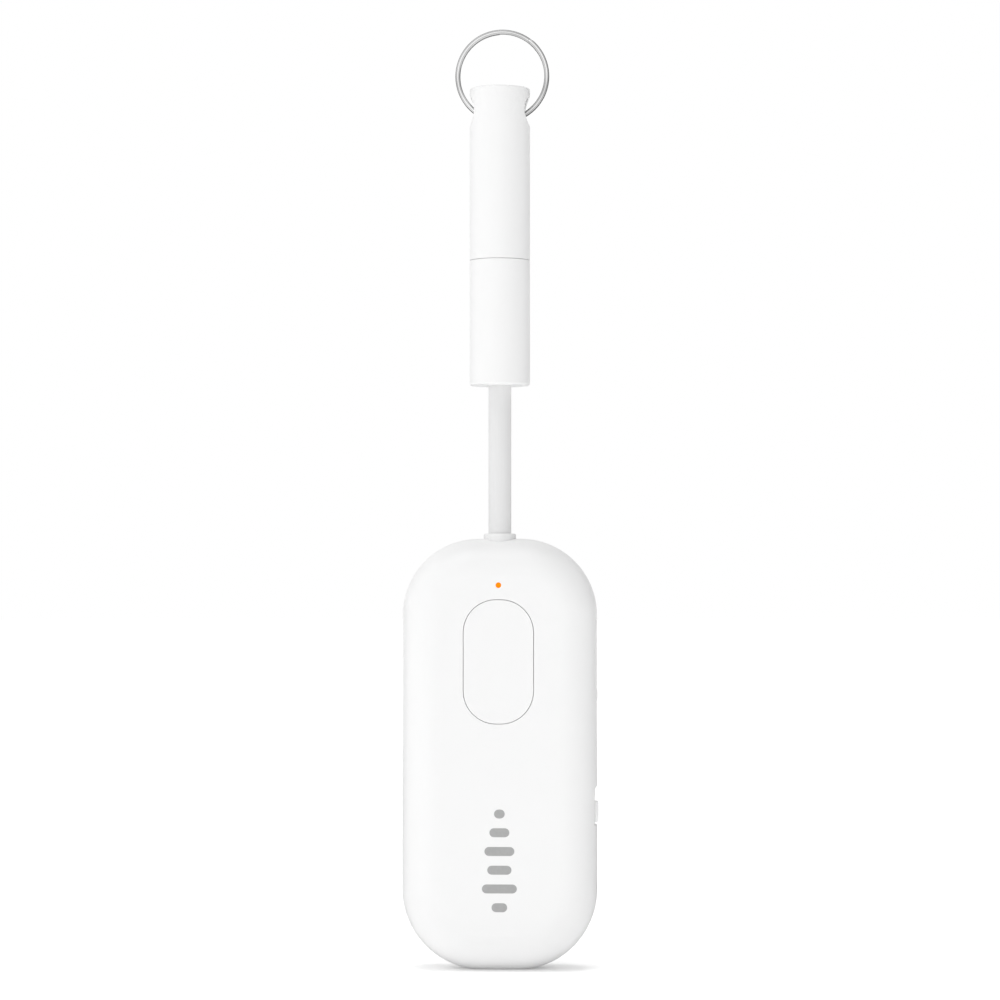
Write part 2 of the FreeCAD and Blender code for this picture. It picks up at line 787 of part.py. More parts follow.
def make_cable():
    """The grommet in the housing's upper end, the cable, and its three inner wires."""
    grommet = turned("cable_grommet", [
        ("cable_radius + cable_gap", "grommet_low"),
        ("grommet_radius", "grommet_low"),
        ("grommet_radius", "grommet_step"),
        ("neck_radius", "grommet_step"),
        ("neck_radius", "collar_low"),
        ("collar_radius", "collar_low"),
        ("collar_radius", "collar_high"),
        ("cable_radius + cable_gap", "collar_high"),
    ])
    round_edges(grommet, "collar_round", "barrel_round", circle_at("collar_radius", "collar_high"))
    cable = rod("audio_cable", "cable_radius", "z", "cable_low", "cable_high")
    nodes = [grommet, cable]
    for n, name in enumerate(("wire_left", "wire_ground", "wire_right")):
        start = (n - 1) * size("core_wire_pitch")
        back = size("core_wire_back")
        points = [
            V(start, back, size("cable_low")),
            V(start, back, size("core_wire_split")),
            V(start * 2, back, size("core_wire_spread")),
            V(start * 2, back, size("core_wire_end")),
        ]
        nodes.append(bent_wire(name, points, size("core_wire_radius"), size("core_wire_bend")))
    return nodes


# ---------------------------------------------------------------- plug

def make_plug():
    """The stereo plug: outer barrel, moulded core, three contacts and the insulator."""
    cable_bore = "cable_radius + cable_gap"
    barrel = turned("plug_barrel", [
        (cable_bore, "barrel_low"),
        ("barrel_radius", "barrel_low"),
        ("barrel_radius", "barrel_high"),
        ("barrel_bore", "barrel_high"),
        ("barrel_bore", "barrel_floor"),
        (cable_bore, "barrel_floor"),
    ])
    round_edges(barrel, "barrel_foot_round", "barrel_round", circle_at("barrel_radius", "barrel_low"))
    round_edges(barrel, "barrel_rim_round", "rim_round", circle_at("barrel_radius", "barrel_high"))
    core = turned("plug_core", [
        (cable_bore, "barrel_floor"),
        ("barrel_bore - core_gap", "barrel_floor"),
        ("barrel_bore - core_gap", "core_high"),
        ("flange_radius + core_gap", "core_high"),
        ("flange_radius + core_gap", "flange_low - core_gap"),
        ("pin_root_radius + core_gap", "flange_low - core_gap"),
        ("pin_root_radius + core_gap", "pin_root - 1"),
        (cable_bore, "pin_root - 1"),
    ])
    sleeve = turned("plug_sleeve_contact", [
        ("sleeve_bore", "pin_root"),
        ("pin_root_radius", "pin_root"),
        ("pin_root_radius", "flange_low"),
        ("flange_radius", "flange_low"),
        ("flange_radius", "core_high"),
        ("pin_radius", "core_high"),
        ("pin_radius", "sleeve_high"),
        ("sleeve_bore", "sleeve_high"),
    ])
    insulator = turned("plug_insulator", [
        ("tip_rod + core_gap", "pin_root"),
        ("sleeve_bore - core_gap", "pin_root"),
        ("sleeve_bore - core_gap", "sleeve_high"),
        ("pin_radius", "sleeve_high"),
        ("pin_radius", "first_ring_high"),
        ("ring_bore - core_gap", "first_ring_high"),
        ("ring_bore - core_gap", "ring_contact_high"),
        ("pin_radius", "ring_contact_high"),
        ("pin_radius", "second_ring_high"),
        ("tip_rod + core_gap", "second_ring_high"),
    ])
    ring_contact = turned("plug_ring_contact", [
        ("ring_bore", "first_ring_high"),
        ("pin_radius", "first_ring_high"),
        ("pin_radius", "ring_contact_high"),
        ("ring_bore", "ring_contact_high"),
    ])
    tip = turned("plug_tip_contact", [
        ("0", "pin_root - 0.5"),
        ("tip_rod", "pin_root - 0.5"),
        ("tip_rod", "second_ring_high"),
        ("pin_radius", "second_ring_high"),
        ("pin_radius", "tip_shoulder"),
        ("tip_neck_radius", "tip_neck"),
        ("tip_ball_radius", "tip_ball"),
        ("tip_cone_radius", "tip_cone"),
        ("tip_end_radius", "tip_end"),
        ("0", "tip_end"),
    ])
    return [barrel, core, sleeve, insulator, ring_contact, tip]


# ---------------------------------------------------------------- cap and key ring

def on_hole_mouth(edge):
    """True for the edges where the ring's hole breaks out of the cap's sides."""
    full_height = abs(edge.BoundBox.ZLength - 2 * size("ring_hole_radius")) < 0.05
    return full_height and abs(edge.CenterOfMass.x) > size("cap_bore")


def make_cap():
    """The cap over the plug, with a liner that grips the plug's tip, and the cross hole for the ring."""
    blank = turned("cap_blank", [
        ("cap_bore", "cap_low"),
        ("barrel_radius", "cap_low"),
        ("barrel_radius", "cap_high"),
        ("0", "cap_high"),
        ("0", "cap_bore_high"),
        ("cap_bore", "cap_bore_high"),
    ])
    round_edges(blank, "cap_top_round", "cap_round", circle_at("barrel_radius", "cap_high"))
    round_edges(blank, "cap_rim_round", "rim_round", circle_at("barrel_radius", "cap_low"))
    cross = rod("ring_hole", "ring_hole_radius", "x", "-barrel_radius - 1", "barrel_radius + 1",
                height="ring_hole_height")
    drilled = cut("cap_drilled", blank, [cross])
    shell = soften("cap_shell", drilled, "ring_hole_round", on_hole_mouth)
    liner = turned("cap_liner", [
        ("liner_bore", "liner_low"),
        ("cap_bore - liner_gap", "liner_low"),
        ("cap_bore - liner_gap", "liner_high"),
        ("liner_grip", "liner_high"),
        ("liner_grip", "liner_grip_low"),
        ("liner_bore", "liner_grip_low"),
    ])
    return [shell, liner]


def make_key_ring():
    """A split ring: flat wire wound almost twice round, hanging in the XZ plane a little to the right."""
    radius = size("ring_radius")
    rise = size("ring_pitch") * size("ring_turns")
    half_width = size("ring_wire_width") / 2
    half_thick = size("ring_wire_thick") / 2
    path = Part.makeHelix(size("ring_pitch"), rise, radius)
    signs = ((-1, -1), (1, -1), (1, 1), (-1, 1))
    corners = [V(radius + a * half_width, 0, b * half_thick) for a, b in signs]
    section = Part.makePolygon(corners + corners[:1])
    piece = doc.addObject("Part::Feature", "key_ring")
    piece.Shape = Part.Wire(path).makePipeShell([section], True, True)
    upright = FreeCAD.Rotation(V(1, 0, 0), 90) * FreeCAD.Rotation(V(0, 0, 1), 90)
    inner_radius = radius - half_width
    piece.Placement = FreeCAD.Placement(V(size("ring_aside"), rise / 2, -inner_radius), upright)
    return piece


# ---------------------------------------------------------------- whole object

nodes = make_shells()
nodes += make_button()
nodes += make_light()
nodes += make_board()
nodes += make_components()
nodes += make_port()
nodes += make_mic_cap()
nodes += make_mode_switch()
nodes += make_battery()
nodes += make_cable()
nodes += make_plug()
nodes += make_cap()
nodes.append(make_key_ring())
doc.recompute()

for item in doc.Objects:
    bad = [state for state in item.State if state in ("Invalid", "Error")]
    if bad:
        raise SystemExit(f"{item.Name} failed: {bad}")

os.makedirs("parts", exist_ok=True)
for node in nodes:
    node.Label = node.Name
    shape = node.Shape
    if shape.isNull() or not shape.isValid() or not shape.Solids:
        raise SystemExit(f"{node.Label} has no valid solid")
    shape.exportStep(f"parts/{node.Label}.step")
    print(f"{node.Label}: {len(shape.Solids)} solid(s), {shape.Volume:.2f} mm3")
print(len(nodes), "nodes")
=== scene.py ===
import json
import math

import bpy
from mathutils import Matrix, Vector


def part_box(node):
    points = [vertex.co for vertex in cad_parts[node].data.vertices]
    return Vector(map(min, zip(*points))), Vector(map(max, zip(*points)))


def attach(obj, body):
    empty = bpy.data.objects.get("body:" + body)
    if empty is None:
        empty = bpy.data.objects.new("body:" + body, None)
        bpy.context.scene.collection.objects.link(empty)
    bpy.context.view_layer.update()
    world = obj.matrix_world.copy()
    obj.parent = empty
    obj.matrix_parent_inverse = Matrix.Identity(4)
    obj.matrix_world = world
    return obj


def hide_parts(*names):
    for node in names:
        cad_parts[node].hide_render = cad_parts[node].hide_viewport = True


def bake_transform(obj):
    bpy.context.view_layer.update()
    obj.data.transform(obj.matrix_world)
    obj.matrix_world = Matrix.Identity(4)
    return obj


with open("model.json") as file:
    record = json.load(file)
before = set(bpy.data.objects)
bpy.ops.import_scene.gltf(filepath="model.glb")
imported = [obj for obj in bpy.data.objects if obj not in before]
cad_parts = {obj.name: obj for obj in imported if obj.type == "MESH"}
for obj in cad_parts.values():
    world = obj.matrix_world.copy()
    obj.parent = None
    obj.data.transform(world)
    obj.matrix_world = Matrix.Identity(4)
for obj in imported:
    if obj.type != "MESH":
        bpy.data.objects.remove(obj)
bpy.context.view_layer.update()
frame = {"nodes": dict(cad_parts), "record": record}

# Pocket Bluetooth audio receiver, hanging in one line: key ring, cap, plug barrel, cable, housing.
# Lengths below are in millimetres, and heights are measured up from the housing's lower end.
MM = 0.001
HOUSING_LOW_Z = -133.0 * MM
FLOOR_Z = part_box("front_shell")[0].z


def at(x, y, height):
    """A point in metres, from millimetres and a height above the housing's lower end."""
    return Vector((x * MM, y * MM, HOUSING_LOW_Z + height * MM))


# ---------------------------------------------------------------- camera

EYE_DISTANCE = 450.0
EYE_AZIMUTH = math.radians(2.2)
EYE_HEIGHT = 53.2
AIM_HEIGHT = 63.97
AIM_X = 0.02
# The height that the picture takes in at the aim point, and the share of it that it is raised by.
VIEW_HEIGHT = 142.25
VIEW_RAISE = 0.018
NEAREST_SEEN = 10.0


def make_camera():
    """A long lens a little to the right of straight on, near the middle of the object's height."""
    away = Vector((math.sin(EYE_AZIMUTH), -math.cos(EYE_AZIMUTH))) * EYE_DISTANCE
    eye = at(AIM_X + away.x, away.y, EYE_HEIGHT)
    aim = at(AIM_X, 0, AIM_HEIGHT)
    data = bpy.data.cameras.new("photo_camera")
    data.angle = 2 * math.atan(VIEW_HEIGHT * MM / 2 / (aim - eye).length)
    data.shift_y = VIEW_RAISE
    data.clip_start = NEAREST_SEEN * MM
    camera = bpy.data.objects.new("photo_camera", data)
    camera.location = eye
    camera.rotation_euler = (aim - eye).to_track_quat("-Z", "Y").to_euler()
    bpy.context.scene.collection.objects.link(camera)
    bpy.context.scene.camera = camera


make_camera()


# ---------------------------------------------------------------- mesh helpers

def new_object(name, vertices, faces, smooth=True):
    """A mesh object from points in metres."""
    mesh = bpy.data.meshes.new(name)
    mesh.from_pydata([tuple(v) for v in vertices], [], faces)
    mesh.validate()
    mesh.polygons.foreach_set("use_smooth", [smooth] * len(mesh.polygons))
    mesh.update()
    obj = bpy.data.objects.new(name, mesh)
    bpy.context.scene.collection.objects.link(obj)
    return obj


def skin(name, loops):
    """A tube of quads through equal loops of points, closed at both ends by one face."""
    count = len(loops[0])
    vertices = [point for loop in loops for point in loop]
    faces = []
    for k in range(len(loops) - 1):
        start = k * count
        for n in range(count):
            m = (n + 1) % count
            faces.append((start + n, start + m, start + count + m, start + count + n))
    faces.append(tuple(reversed(range(count))))
    last = (len(loops) - 1) * count
    faces.append(tuple(range(last, last + count)))
    return new_object(name, vertices, faces)


# ---------------------------------------------------------------- cable

# From inside the grommet up to inside the plug's barrel.
CABLE_ROUTE = [(0, 0, 57.0), (0, 0, 64.0), (0, 0, 80.0), (0, 0, 87.6)]
CABLE_DIAMETER = 3.25
CABLE_SIDES = 64
CABLE_STEPS = 24


def read_route(name, route):
    """The points of the smooth spline that a route's points control."""
    data = bpy.data.curves.new(name, "CURVE")
    data.dimensions = "3D"
    data.resolution_u = CABLE_STEPS
    spline = data.splines.new("NURBS")
    spline.points.add(len(route) - 1)
    for point, spot in zip(spline.points, route):
        point.co = (*at(*spot), 1)
    spline.order_u = 3
    spline.use_endpoint_u = True
    line = bpy.data.objects.new(name, data)
    bpy.context.scene.collection.objects.link(line)
    bpy.context.view_layer.update()
    mesh = bpy.data.meshes.new_from_object(line.evaluated_get(bpy.context.evaluated_depsgraph_get()))
    points = [v.co.copy() for v in mesh.vertices]
    bpy.data.objects.remove(line)
    return points


def make_cable():
    """The jacketed cable from inside the grommet to inside the plug's barrel."""
    line = read_route("cable_route", CABLE_ROUTE)
    radius = CABLE_DIAMETER / 2 * MM
    turns = [2 * math.pi * n / CABLE_SIDES for n in range(CABLE_SIDES)]
    loops = [[p + Vector((math.cos(a), math.sin(a), 0)) * radius for a in turns] for p in line]
    cable = skin("audio_cable_jacket", loops)
    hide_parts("audio_cable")
    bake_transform(cable)
    return cable


cable = make_cable()


# ---------------------------------------------------------------- key ring

RING_PITCH = 0.4
RING_TURNS = 1.9
RING_WIRE_WIDTH = 0.70
RING_WIRE_THICK = 0.36
RING_STEPS_PER_TURN = 160
# The wire's cross section is a rounded square of this power, drawn flat.
RING_SECTION_POINTS = 28
RING_SECTION_POWER = 2.6
# The size of the section at the first steps from each blunt end.
RING_END_SHRINK = [0.45, 0.78, 0.93]
# Painted highlight and painted shade across the wire, standing in for its reflections: the plate's
# brightness from its inner edge (0) to its outer edge (1).
RING_PAINTED_SHEEN = [(0.20, 0.58), (0.38, 0.52), (0.47, 1.0), (0.57, 1.0), (0.66, 0.50), (0.82, 0.55)]


def squircle(angle, power):
    """A point on a rounded square of half-size one."""
    across = abs(math.cos(angle)) ** (2 / power)
    up = abs(math.sin(angle)) ** (2 / power)
    return math.copysign(across, math.cos(angle)), math.copysign(up, math.sin(angle))


def ring_middle():
    """The middle of the ring's hole, and the radius of the wire's own middle line, in metres."""
    low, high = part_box("key_ring")
    return (low + high) / 2, (high.z - low.z) / 2 - RING_WIRE_WIDTH / 2 * MM


def make_ring():
    """The split ring: a crowned flat wire, wound almost twice round and blunt at both ends."""
    middle, radius = ring_middle()
    steps = round(RING_STEPS_PER_TURN * RING_TURNS)
    section = [squircle(2 * math.pi * n / RING_SECTION_POINTS, RING_SECTION_POWER)
               for n in range(RING_SECTION_POINTS)]
    loops = []
    for n in range(steps + 1):
        turns = RING_TURNS * n / steps
        angle = 2 * math.pi * turns
        outward = Vector((-math.sin(angle), 0, math.cos(angle)))
        back = (RING_TURNS / 2 - turns) * RING_PITCH * MM
        centre = middle + outward * radius + Vector((0, back, 0))
        from_end = min(n, steps - n)
        full = RING_END_SHRINK[from_end] if from_end < len(RING_END_SHRINK) else 1
        half_width = RING_WIRE_WIDTH / 2 * MM * full
        half_thick = RING_WIRE_THICK / 2 * MM * full
        loops.append([
            centre + outward * (across * half_width) + Vector((0, up * half_thick, 0))
            for across, up in section
        ])
    ring = skin("split_key_ring", loops)
    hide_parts("key_ring")
    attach(ring, "key_ring")
    return ring


key_ring = make_ring()


# ---------------------------------------------------------------- material helpers

def new_material(name, colour, roughness, **sockets):
    """A Principled material; sockets are set on the shader itself."""
    material = bpy.data.materials.new(name)
    material.use_nodes = True
    shader = material.node_tree.nodes["Principled BSDF"]
    shader.inputs["Base Color"].default_value = (*colour, 1)
    shader.inputs["Roughness"].default_value = roughness
    for socket, value in sockets.items():
        shader.inputs[socket.replace("_", " ")].default_value = value
    return material


def add(material, kind, **settings):
    """One node with its properties set."""
    node = material.node_tree.nodes.new(kind)
    for key, value in settings.items():
        setattr(node, key, value)
    return node


def link(material, out, into):
    """Joins two sockets."""
    material.node_tree.links.new(out, into)


def shader_of(material):
    """The Principled shader of a material."""
    return material.node_tree.nodes["Principled BSDF"]


def place(material, stretch=(1, 1, 1)):
    """The object's own coordinates, in millimetres, stretched along chosen axes."""
    spot = add(material, "ShaderNodeTexCoord")
    scale = add(material, "ShaderNodeMapping")
    scale.inputs["Scale"].default_value = [s / MM for s in stretch]
    link(material, spot.outputs["Object"], scale.inputs["Vector"])
    return scale.outputs["Vector"]


def noise(material, per_mm, detail=3.0, stretch=(1, 1, 1)):
    """Noise with this many features to the millimetre."""
    node = add(material, "ShaderNodeTexNoise")
    node.inputs["Scale"].default_value = per_mm
    node.inputs["Detail"].default_value = detail
    link(material, place(material, stretch), node.inputs["Vector"])
    return node.outputs["Fac"]


def spread(material, source, low, high, start=0.3, end=0.7):
    """Maps a 0 to 1 signal between start and end to numbers from low to high."""
    node = add(material, "ShaderNodeMapRange")
    for socket, value in (("From Min", start), ("From Max", end), ("To Min", low), ("To Max", high)):
        node.inputs[socket].default_value = value
    link(material, source, node.inputs["Value"])
    return node.outputs["Result"]


def tint(material, source, first, second, start=0.3, end=0.7):
    """Colours the surface from first to second by a 0 to 1 signal."""
    ramp = add(material, "ShaderNodeValToRGB")
    ramp.color_ramp.elements[0].position = start
    ramp.color_ramp.elements[0].color = (*first, 1)
    ramp.color_ramp.elements[1].position = end
    ramp.color_ramp.elements[1].color = (*second, 1)
    link(material, source, ramp.inputs["Fac"])
    link(material, ramp.outputs["Color"], shader_of(material).inputs["Base Color"])
    return ramp


def roughen(material, source, low, high):
    """Varies the roughness by a 0 to 1 signal."""
    link(material, spread(material, source, low, high), shader_of(material).inputs["Roughness"])


def bump(material, source, depth_mm):
    """Raises the surface by a 0 to 1 signal."""
    node = add(material, "ShaderNodeBump")
    node.inputs["Distance"].default_value = depth_mm * MM
    link(material, source, node.inputs["Height"])
    link(material, node.outputs["Normal"], shader_of(material).inputs["Normal"])


def grey(value):
    """A colour of equal red, green and blue."""
    return (value, value, value)


# ---------------------------------------------------------------- materials

def white_plastic(name, tone, smooth, rough):
    """Moulded white plastic: faint cloudiness, uneven gloss and a very fine skin texture."""
    material = new_material(name, grey(tone), smooth, Specular_IOR_Level=0.5)
    cloud = noise(material, per_mm=0.12, detail=3)
    tint(material, cloud, (tone * 0.996, tone * 0.997, tone * 0.996), grey(tone))
    roughen(material, noise(material, per_mm=0.7, detail=3), smooth, rough)
    bump(material, noise(material, per_mm=1.4, detail=2), depth_mm=0.00015)
    return material


def soft_plastic(name, tone, grain):
    """Flexible matt plastic with a fine leathery grain."""
    material = new_material(name, grey(tone), 0.5, Specular_IOR_Level=0.4)
    tint(material, noise(material, per_mm=0.6, detail=4), grey(tone * 0.975), grey(tone))
    roughen(material, noise(material, per_mm=2.5, detail=4), low=0.42, high=0.58)
    bump(material, noise(material, per_mm=grain, detail=3), depth_mm=0.002)
    return material


def cable_jacket():
    """Extruded cable jacket: matt, with faint drawing lines along its length."""
    material = new_material("cable_jacket", grey(0.78), 0.5, Specular_IOR_Level=0.4)
    lines = noise(material, per_mm=6.0, detail=4, stretch=(1, 1, 0.04))
    tint(material, lines, grey(0.765), grey(0.785))
    roughen(material, noise(material, per_mm=2.0, detail=4), low=0.45, high=0.6)
    bump(material, lines, depth_mm=0.002)
    return material


def polished_metal(name, colour, smooth, rough, stretch):
    """Plated or drawn metal with fine lines in one direction."""
    material = new_material(name, colour, smooth, Metallic=1.0)
    lines = noise(material, per_mm=5.0, detail=6, stretch=stretch)
    tint(material, lines, [c * 0.93 for c in colour], colour)
    roughen(material, noise(material, per_mm=1.0, detail=5), smooth, rough)
    bump(material, lines, depth_mm=0.0015)
    return material


def ring_chrome():
    """Nickel-chrome plate on drawn wire: a painted highlight along the middle between flanks with
    painted shade, standing in for reflections, with fine lines.
    """
    material = new_material("ring_chrome", grey(0.6), 0.14, Metallic=1.0)
    middle, radius = ring_middle()
    spot = add(material, "ShaderNodeTexCoord")
    offset = add(material, "ShaderNodeVectorMath", operation="SUBTRACT")
    offset.inputs[1].default_value = middle
    flat = add(material, "ShaderNodeVectorMath", operation="MULTIPLY")
    flat.inputs[1].default_value = (1 / MM, 0, 1 / MM)
    away = add(material, "ShaderNodeVectorMath", operation="LENGTH")
    link(material, spot.outputs["Object"], offset.inputs[0])
    link(material, offset.outputs["Vector"], flat.inputs[0])
    link(material, flat.outputs["Vector"], away.inputs[0])
    inner = radius / MM - RING_WIRE_WIDTH / 2
    outer = inner + RING_WIRE_WIDTH
    across = spread(material, away.outputs["Value"], low=0, high=1, start=inner, end=outer)
    # Painted highlight on the wire's middle and painted shade on its edges, set in the base colour by
    # the distance across the wire.
    painted_sheen = tint(material, across, grey(0.34), grey(0.22), start=0.06, end=0.94)
    for place_across, tone in RING_PAINTED_SHEEN:
        painted_sheen.color_ramp.elements.new(place_across).color = (*grey(tone), 1)
    # Of this node's sockets, 6 and 7 are the two colours that it takes in, and 2 the one that it gives.
    uneven = add(material, "ShaderNodeMix", data_type="RGBA", blend_type="MULTIPLY")
    uneven.inputs["Factor"].default_value = 1.0
    cloud = spread(material, noise(material, per_mm=0.16, detail=1), low=0.68, high=1.3)
    link(material, painted_sheen.outputs["Color"], uneven.inputs[6])
    link(material, cloud, uneven.inputs[7])
    link(material, uneven.outputs[2], shader_of(material).inputs["Base Color"])
    lines = add(material, "ShaderNodeTexNoise", noise_dimensions="1D")
    lines.inputs["Scale"].default_value = 14.0
    lines.inputs["Detail"].default_value = 3.0
    link(material, away.outputs["Value"], lines.inputs["W"])
    roughen(material, noise(material, per_mm=1.5, detail=5), low=0.12, high=0.22)
    bump(material, lines.outputs["Fac"], depth_mm=0.002)
    return material


def black_plastic():
    """Dark moulding compound with a grainy face."""
    material = new_material("black_plastic", grey(0.02), 0.5)
    tint(material, noise(material, per_mm=1.5, detail=5), grey(0.014), grey(0.03))
    roughen(material, noise(material, per_mm=3.0, detail=4), low=0.42, high=0.62)
    bump(material, noise(material, per_mm=14.0, detail=3), depth_mm=0.004)
    return material


def amber_light():
    """Clear light pipe, lit amber from behind, a little uneven."""
    material = new_material("light_clear", (0.6, 0.1, 0.0), 0.45,
                            Specular_IOR_Level=0.05, Emission_Strength=0.6)
    cells = noise(material, per_mm=3.0, detail=2)
    tint(material, cells, (0.55, 0.09, 0.0), (0.65, 0.12, 0.0))
    glow = add(material, "ShaderNodeValToRGB")
    glow.color_ramp.elements[0].color = (1.0, 0.28, 0.0, 1)
    glow.color_ramp.elements[1].color = (1.0, 0.34, 0.0, 1)
    link(material, cells, glow.inputs["Fac"])
    link(material, glow.outputs["Color"], shader_of(material).inputs["Emission Color"])
    bump(material, cells, depth_mm=0.003)
    return material


def board_mask():
    """Green solder mask with raised copper tracks under it."""
    material = new_material("board_green", (0.03, 0.16, 0.07), 0.32)
    tracks = add(material, "ShaderNodeTexVoronoi", feature="DISTANCE_TO_EDGE", distance="MANHATTAN")
    tracks.inputs["Scale"].default_value = 0.45
    tracks.inputs["Randomness"].default_value = 0.85
    link(material, place(material), tracks.inputs["Vector"])
    edge = spread(material, tracks.outputs["Distance"], low=1.0, high=0.0, start=0.05, end=0.09)
    tint(material, edge, (0.012, 0.10, 0.045), (0.03, 0.20, 0.085), start=0.2, end=0.8)
    roughen(material, noise(material, per_mm=1.5, detail=4), low=0.28, high=0.42)
    bump(material, edge, depth_mm=0.03)
    return material


def ceramic():
    """Fired ceramic of small parts, speckled, with a dry face."""
    material = new_material("antenna_ceramic", (0.75, 0.70, 0.60), 0.6)
    tint(material, noise(material, per_mm=4.0, detail=6), (0.62, 0.55, 0.44), (0.80, 0.76, 0.68))
    roughen(material, noise(material, per_mm=3.0, detail=3), low=0.5, high=0.75)
    bump(material, noise(material, per_mm=10.0, detail=3), depth_mm=0.006)
    return material


def cell_foil():
    """The pouch cell's laminated foil, slightly creased."""
    material = new_material("cell_foil", (0.70, 0.71, 0.73), 0.35, Metallic=0.9)
    creases = noise(material, per_mm=0.35, detail=6)
    tint(material, creases, (0.62, 0.63, 0.65), (0.74, 0.75, 0.77))
    roughen(material, noise(material, per_mm=1.0, detail=5), low=0.28, high=0.45)
    bump(material, creases, depth_mm=0.08)
    return material


def foam_black():
    """Open-cell foam and tape: pitted and dull."""
    material = new_material("foam_black", grey(0.05), 0.9)
    pits = add(material, "ShaderNodeTexVoronoi")
    pits.inputs["Scale"].default_value = 3.0
    link(material, place(material), pits.inputs["Vector"])
    tint(material, pits.outputs["Distance"], grey(0.02), grey(0.07), start=0.1, end=0.6)
    roughen(material, noise(material, per_mm=2.0, detail=3), low=0.8, high=0.95)
    bump(material, pits.outputs["Distance"], depth_mm=0.05)
    return material


def insulation(name, colour):
    """Wire insulation: smooth, with faint drawing lines."""
    material = new_material(name, colour, 0.4)
    lines = noise(material, per_mm=8.0, detail=3, stretch=(1, 1, 0.1))
    tint(material, lines, [c * 0.9 for c in colour], colour)
    roughen(material, noise(material, per_mm=3.0, detail=3), low=0.32, high=0.48)
    bump(material, lines, depth_mm=0.003)
    return material


# The record's slots.
MATERIALS = {
    "white_gloss": white_plastic("white_gloss", tone=0.90, smooth=0.28, rough=0.33),
    "white_button": white_plastic("white_button", tone=0.90, smooth=0.30, rough=0.37),
    "white_grommet": soft_plastic("white_grommet", tone=0.86, grain=8.0),
    "cable_jacket": cable_jacket(),
    "ring_chrome": ring_chrome(),
    "liner_grey": soft_plastic("liner_grey", tone=0.55, grain=6.0),
    "core_plastic": soft_plastic("core_plastic", tone=0.75, grain=7.0),
    "gold_contact": polished_metal("gold_contact", (0.83, 0.62, 0.28), smooth=0.16, rough=0.26,
                                   stretch=(0.2, 0.2, 3)),
    "black_plastic": black_plastic(),
    "light_clear": amber_light(),
    "board_green": board_mask(),
    "steel": polished_metal("steel", (0.56, 0.56, 0.58), smooth=0.24, rough=0.36, stretch=(0.1, 1, 3)),
    "antenna_ceramic": ceramic(),
    "cell_foil": cell_foil(),
    "foam_black": foam_black(),
    "wire_red": insulation("wire_red", (0.50, 0.02, 0.02)),
    "wire_white": insulation("wire_white", (0.80, 0.80, 0.80)),
}


def paint(obj, slot):
    """Gives an object its slot's material and nothing else."""
    obj.data.materials.clear()
    obj.data.materials.append(MATERIALS[slot])


for row in frame["record"]["subparts"]:
    paint(frame["nodes"][row["node"]], row["material_slot"])
paint(cable, "cable_jacket")
paint(key_ring, "ring_chrome")


# ---------------------------------------------------------------- printed mark

MARK_X = 0.14
MARK_LOW = 8.6
MARK_STEP = 2.62
BAR_THICK = 1.25
# From the lowest bar up.
BAR_WIDTHS = [2.2, 4.9, 3.4, 4.2, 2.8, 1.5]
PRINT_THICK = 0.012
BAR_CORNER_STEPS = 10


def make_mark():
    """Rounded bars of uneven length, printed in grey on the housing's face."""
    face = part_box("front_shell")[0].y / MM
    vertices = []
    faces = []
    radius = BAR_THICK / 2
    for n, width in enumerate(BAR_WIDTHS):
        middle = MARK_LOW + radius + n * MARK_STEP
        outline = []
        for side in (1, -1):
            for k in range(BAR_CORNER_STEPS + 1):
                a = -math.pi / 2 + math.pi * k / BAR_CORNER_STEPS
                outline.append((MARK_X + side * ((width / 2 - radius) + radius * math.cos(a)),
                                middle + side * radius * math.sin(a)))
        start = len(vertices)
        count = len(outline)
        vertices += [at(x, face - PRINT_THICK, z) for x, z in outline]
        vertices += [at(x, face, z) for x, z in outline]
        faces.append(tuple(range(start, start + count)))
        faces.append(tuple(reversed(range(start + count, start + 2 * count))))
        for k in range(count):
            m = (k + 1) % count
            faces.append((start + m, start + k, start + count + k, start + count + m))
    mark = new_object("printed_level_bars", vertices, faces, smooth=False)
    ink = new_material("grey_ink", grey(0.40), 0.5)
    tint(ink, noise(ink, per_mm=3.0, detail=5), grey(0.385), grey(0.415))
    roughen(ink, noise(ink, per_mm=5.0, detail=3), low=0.42, high=0.6)
    bump(ink, noise(ink, per_mm=12.0, detail=2), depth_mm=0.002)
    mark.data.materials.append(ink)
    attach(mark, "housing")


make_mark()


# ---------------------------------------------------------------- floor, world and lights

# The floor's distances are in metres.
FLOOR_REACH = 6.0
FLOOR_TONE = 0.92
# The floor's own glow near the object and far off, and the distances that it grows between.
FLOOR_GLOW = (0.12, 0.33)
FLOOR_GLOW_REACH = (0.5, 3.0)
# The room's brightness from far left to far right: place on the X axis of the direction, then strength.
ROOM = [(-1.0, 0.88), (-0.6, 1.04), (-0.1, 0.935), (0.16, 0.92), (0.5, 0.65), (1.0, 0.36)]
# The share of that brightness that comes from straight behind the object.
ROOM_BACK = 0.8
# Cards: name, place, the point that each faces, width, height, brightness.
CARDS = [
    ("card_left_low", (-420, 330, -30), (0, 0, -30), 330, 220, 0.02),
    ("card_left_high", (-420, 330, 230), (0, 0, 230), 330, 300, 0.5),
    ("card_right_low", (420, 330, -30), (0, 0, -30), 330, 220, 0.0),
    ("card_right_high", (420, 330, 230), (0, 0, 230), 330, 300, 0.2),
    ("card_top", (0, 60, 520), (0, 0, 80), 700, 330, 0.4),
    ("card_floor", (0, 280, 0.25), (0, 280, 100), 1200, 640, 0.2),
]


